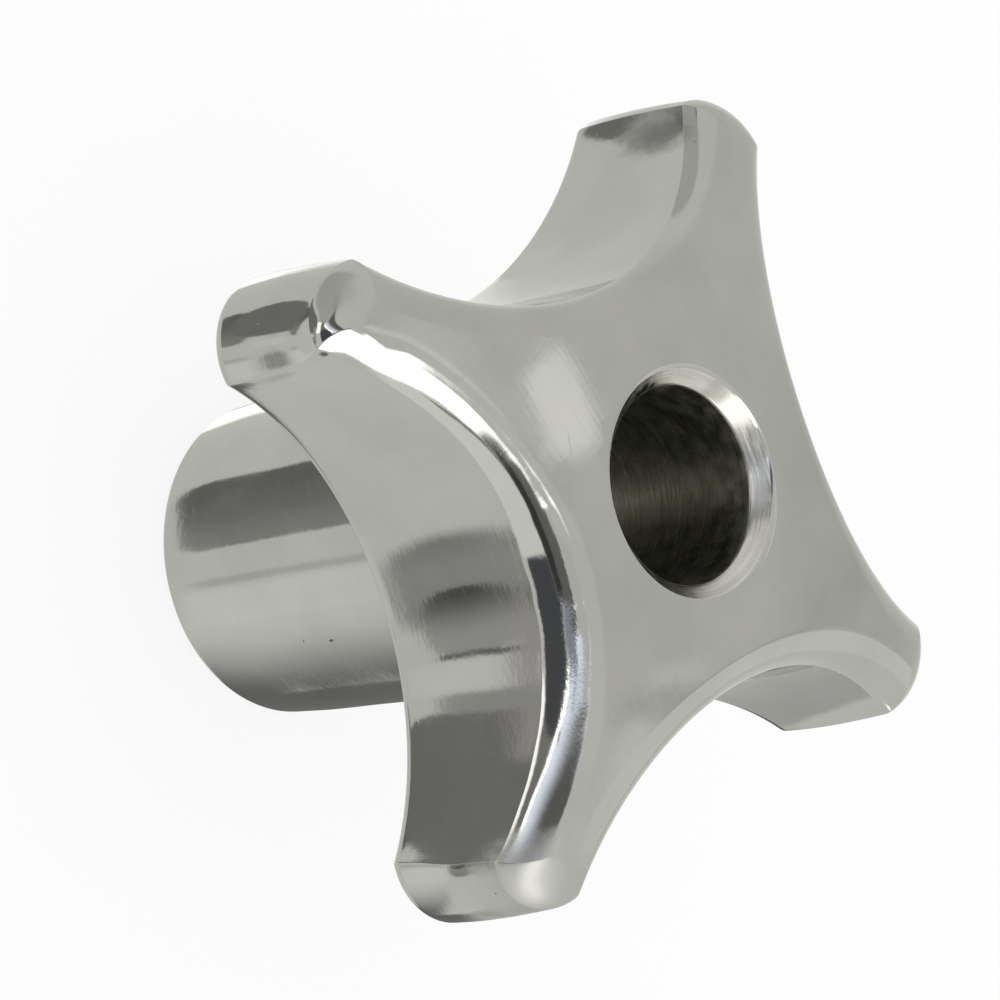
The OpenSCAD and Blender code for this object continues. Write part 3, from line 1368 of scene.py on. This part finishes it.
class PolishedSteel(FinishBase):
    """Mirror polish over a casting: waves, belt lines, hair scratches, pits and scuffs."""

    name = "polished_steel"
    bright = (0.575, 0.572, 0.565, 1.0)
    dull = (0.535, 0.535, 0.527, 1.0)
    soot = (0.05, 0.045, 0.04, 1.0)
    etched = (0.40, 0.40, 0.39, 1.0)
    pits = (
        Blot((30.7, -2.6, 31.8), 0.13, 0.06, raggedness=0.1),
        Blot((31.0, -1.7, 34.8), 0.11, 0.05, raggedness=0.1),
        Blot((31.2, -1.9, 35.4), 0.08, 0.04),
        Blot((-0.6, -30.1, 37.7), 0.10, 0.05),
        Blot((3.5, -29.5, 36.4), 0.3, 0.12, raggedness=0.5),
        Blot((-26.2, -3.2, 38.2), 0.14, 0.1, raggedness=0.3),
        Blot((-25.2, -3.1, 38.3), 0.1, 0.1, raggedness=0.2),
        Blot((10.8, -5.3, 12.1), 0.08, 0.05),
        Blot((11.0, -5.1, 14.9), 0.1, 0.06, stretch=(1.0, 1.0, 0.4)),
    )
    satin = (
        Blot((30.5, 0.6, 37.0), 4.6, 1.6, raggedness=1.5),
        Blot((-27.6, -3.7, 34.0), 2.2, 2.0, raggedness=2.0),
        Blot((-0.6, -29.8, 38.1), 1.2, 1.6, raggedness=0.5),
    )
    smudge = (Blot((-27.1, -3.9, 35.0), 1.2, 0.9, stretch=(1.0, 1.0, 0.5), raggedness=1.2),)
    stain = (Blot((30.2, 0.0, 37.2), 3.4, 1.6, raggedness=1.2),)
    speckle = (Blot((15.5, -6.0, 41.0), 6.0, 3.0, stretch=(1.0, 1.0, 3.5)),)
    mirror = (0.055, 0.085)
    tones = {"streaks": 0.25, "smudge": 0.5, "stain": 0.25, "pits": 0.85}
    roughs = {"streaks": 0.03, "satin": 0.36, "worn": 0.06, "pits": 0.4, "scratch": 0.17}
    heights = {"waves": 0.045, "belts": 0.0035, "cross": 0.0012, "speckle": 0.006, "pits": 0.04}

    def build(self) -> bpy.types.Material:
        """Wire the polish and return the material.

        Returns:
            The finished material.
        """
        kit, fx = self.kit, self.effects
        waves = self.use(fx.waves, Wave_Length=11.0)
        belts = self.use(fx.grain, Heading=math.radians(-57), Lines_per_mm=3.0, Length=22.0)
        cross = self.use(fx.grain, Heading=math.radians(25), Lines_per_mm=3.6, Length=9.0)
        scratch = self.use(fx.scratch, Amount=0.35)["Mask"]
        strewn = self.use(fx.pits, Spacing=7.0, Radius=0.06, Share=0.25)["Mask"]
        worn = self.use(fx.wear, Reach=0.62)["Mask"]
        pits = kit.math("MAXIMUM", self.blots(self.pits), strewn)
        satin, smudge = self.blots(self.satin), self.blots(self.smudge)
        speckle = self.blots(self.speckle)
        tone = kit.blend(waves["Cloud"], self.dull, self.bright)
        tone = kit.blend(kit.scale(belts["Streaks"], self.tones["streaks"]), tone, self.bright)
        tone = kit.blend(kit.scale(smudge, self.tones["smudge"]), tone, self.soot)
        tone = kit.blend(kit.scale(self.blots(self.stain), self.tones["stain"]), tone, self.etched)
        tone = kit.blend(kit.scale(pits, self.tones["pits"]), tone, self.soot)
        kit.feed(self.shader, "Base Color", tone)
        rough = kit.ramp(waves["Cloud"], 0.0, 1.0, *self.mirror)
        for mask, key in ((belts["Streaks"], "streaks"), (satin, "satin"), (worn, "worn")):
            rough = kit.math("ADD", rough, kit.scale(mask, self.roughs[key]))
        holes, hairs = kit.scale(pits, self.roughs["pits"]), kit.scale(scratch, self.roughs["scratch"])
        rough = kit.math("MAXIMUM", rough, kit.math("MAXIMUM", holes, hairs))
        kit.feed(self.shader, "Roughness", rough)
        grit = kit.scale(kit.noise(self.spot, 4.6, 2.0), speckle)
        normal = self.bump(waves["Height"], self.heights["waves"])
        normal = self.bump(belts["Height"], self.heights["belts"], normal)
        normal = self.bump(cross["Height"], self.heights["cross"], normal)
        normal = self.bump(grit, self.heights["speckle"], normal)
        normal = self.bump(kit.math("SUBTRACT", 1.0, pits), self.heights["pits"], normal)
        kit.feed(self.shader, "Normal", normal)
        return self.material


class TurnedBore(FinishBase):
    """Dark, dry-turned bore with rings, and a painted highlight: a light streak painted down the far wall
    in place of a reflection.
    """

    name = "turned_bore"
    dark = (0.205, 0.203, 0.172, 1.0)
    warm = (0.98, 0.925, 0.84, 1.0)
    # band: painted highlight, a long streak down the far wall of the bore that stands in for the
    # reflection of a light; it borrows the warm colour of the lighter rings
    band = (Blot((-3.3, 6.2, 35.0), 0.8, 1.9, stretch=(1.0, 1.0, 0.03), raggedness=0.8),)
    tones = {"rings": 0.12, "cloud": 0.08, "band": 0.85, "scratch": 0.12}
    dry = (0.34, 0.48)
    ring_height = 0.022

    def build(self) -> bpy.types.Material:
        """Wire the bore and return the material.

        Returns:
            The finished material.
        """
        kit, fx = self.kit, self.effects
        rings = self.use(fx.turning, Lines_per_mm=9.0, Drift=0.6)
        waves = self.use(fx.waves, Wave_Length=2.5)
        scratch = self.use(fx.scratch, Amount=0.8)["Mask"]
        lines = kit.scale(rings["Tone"], self.tones["rings"])
        share = kit.math("ADD", lines, kit.scale(waves["Cloud"], self.tones["cloud"]))
        # painted highlight: the band pulls the tone most of the way to the warm colour, in place of a
        # reflection
        share = kit.math("ADD", share, kit.scale(self.blots(self.band), self.tones["band"]))
        tone = kit.blend(share, self.dark, self.warm)
        tone = kit.blend(kit.scale(scratch, self.tones["scratch"]), tone, self.warm)
        kit.feed(self.shader, "Base Color", tone)
        kit.feed(self.shader, "Roughness", kit.ramp(waves["Cloud"], 0.0, 1.0, *self.dry))
        kit.feed(self.shader, "Normal", self.bump(rings["Height"], self.ring_height))
        return self.material


class TurnedChamfer(FinishBase):
    """Bright turned chamfer with tool rings, stripes of chatter and a rubbed edge."""

    name = "turned_chamfer"
    bright = (0.74, 0.735, 0.715, 1.0)
    dull = (0.58, 0.575, 0.56, 1.0)
    chatter = (Blot((-4.2, 6.4, 42.2), 2.6, 1.0, raggedness=1.0),)
    burr = (
        Blot((-4.1, -6.1, 41.9), 0.4, 0.2, raggedness=0.4),
        Blot((-4.7, -5.7, 42.0), 0.4, 0.2, raggedness=0.4),
        Blot((-5.3, -5.0, 41.9), 0.3, 0.2, raggedness=0.4),
    )
    rubbed = (Blot((-7.4, 2.2, 42.3), 2.4, 0.6, raggedness=0.8),)
    grey = (0.50, 0.50, 0.485, 1.0)
    soot = (0.05, 0.05, 0.045, 1.0)
    ring_tone = 0.7
    turned = (0.2, 0.28)
    chatter_rough = 0.15
    heights = {"rings": 0.012, "chatter": 0.02}

    def build(self) -> bpy.types.Material:
        """Wire the chamfer and return the material.

        Returns:
            The finished material.
        """
        kit, fx = self.kit, self.effects
        rings = self.use(fx.turning, Lines_per_mm=7.0, Drift=0.35)
        waves = self.use(fx.waves, Wave_Length=3.0)
        worn = self.use(fx.wear, Reach=0.60)["Mask"]
        chatter = kit.scale(self.blots(self.chatter), rings["Tone"])
        tone = kit.blend(kit.scale(rings["Tone"], self.ring_tone), self.bright, self.dull)
        for mask, colour in (
            (worn, self.bright), (self.blots(self.rubbed), self.grey), (self.blots(self.burr), self.soot)
        ):
            tone = kit.blend(mask, tone, colour)
        kit.feed(self.shader, "Base Color", tone)
        rough = kit.ramp(waves["Cloud"], 0.0, 1.0, *self.turned)
        rough = kit.math("ADD", rough, kit.scale(chatter, self.chatter_rough))
        kit.feed(self.shader, "Roughness", rough)
        normal = self.bump(rings["Height"], self.heights["rings"])
        normal = self.bump(chatter, self.heights["chatter"], normal)
        kit.feed(self.shader, "Normal", normal)
        return self.material


FINISH_KINDS = {
    Finish.POLISHED: PolishedSteel,
    Finish.TURNED_BORE: TurnedBore,
    Finish.TURNED_CHAMFER: TurnedChamfer,
}


def arm_ring_tree(materials: dict[Finish, bpy.types.Material]) -> bpy.types.NodeTree:
    """Build the tree that sets one arm round the bore's axis.

    Args:
        materials: material of each finish.

    Returns:
        The Geometry Nodes tree.
    """
    tree = bpy.data.node_groups.new("Arm Ring", "GeometryNodeTree")
    sockets = (
        ("Geometry", "INPUT", "Geometry"), ("Arms", "INPUT", "Int"),
        ("Join Distance", "INPUT", "Float"), ("Geometry", "OUTPUT", "Geometry"),
    )
    for name, way, kind in sockets:
        tree.interface.new_socket(name, in_out=way, socket_type="NodeSocket" + kind)
    kit = NodeKit(tree)
    gin, gout = kit.new("NodeGroupInput").outputs, kit.new("NodeGroupOutput")
    points, number = kit.new("GeometryNodePoints"), kit.new("GeometryNodeInputIndex")
    kit.feed(points, "Count", gin["Arms"])
    step = kit.math("DIVIDE", math.tau, gin["Arms"])
    spin = kit.new("ShaderNodeCombineXYZ")
    kit.feed(spin, "Z", kit.math("MULTIPLY", number.outputs[0], step))
    arms = kit.new("GeometryNodeInstanceOnPoints")
    kit.feed(arms, "Points", points.outputs[0])
    kit.feed(arms, "Instance", gin["Geometry"])
    kit.feed(arms, "Rotation", spin.outputs[0])
    real, weld = kit.new("GeometryNodeRealizeInstances"), kit.new("GeometryNodeMergeByDistance")
    kit.feed(real, 0, arms.outputs[0])
    kit.feed(weld, "Geometry", real.outputs[0])
    kit.feed(weld, "Distance", gin["Join Distance"])
    mark = kit.new("GeometryNodeInputNamedAttribute", data_type="INT")
    kit.feed(mark, "Name", "finish")
    last = weld.outputs[0]
    for finish, material in materials.items():
        same = kit.new("FunctionNodeCompare", data_type="INT", operation="EQUAL")
        kit.feed(same, "A", mark.outputs["Attribute"])
        kit.feed(same, "B", finish.value)
        paint = kit.new("GeometryNodeSetMaterial")
        kit.feed(paint, "Geometry", last)
        kit.feed(paint, "Selection", same.outputs[0])
        kit.feed(paint, "Material", material)
        last = paint.outputs[0]
    kit.feed(gout, 0, last)
    return tree


def main() -> None:
    """Build the knob, the studio and the camera."""
    logging.basicConfig(level=logging.INFO, format="%(name)s: %(message)s")
    bpy.context.scene.view_settings.view_transform = "Standard"
    knob, studio, floor, view = Casting().build(), Studio(), Floor(), View()
    mesh = knob.data
    LOG.info("%s: %d points, %d faces", knob.name, len(mesh.vertices), len(mesh.polygons))
    LOG.info("%s: %d panels", studio.build().name, len(studio.cards))
    LOG.info("%s: %.1f m wide", floor.build().name, floor.size)
    LOG.info("%s: lens %.1f mm", view.build().name, view.lens)


if __name__ == "__main__":
    main()
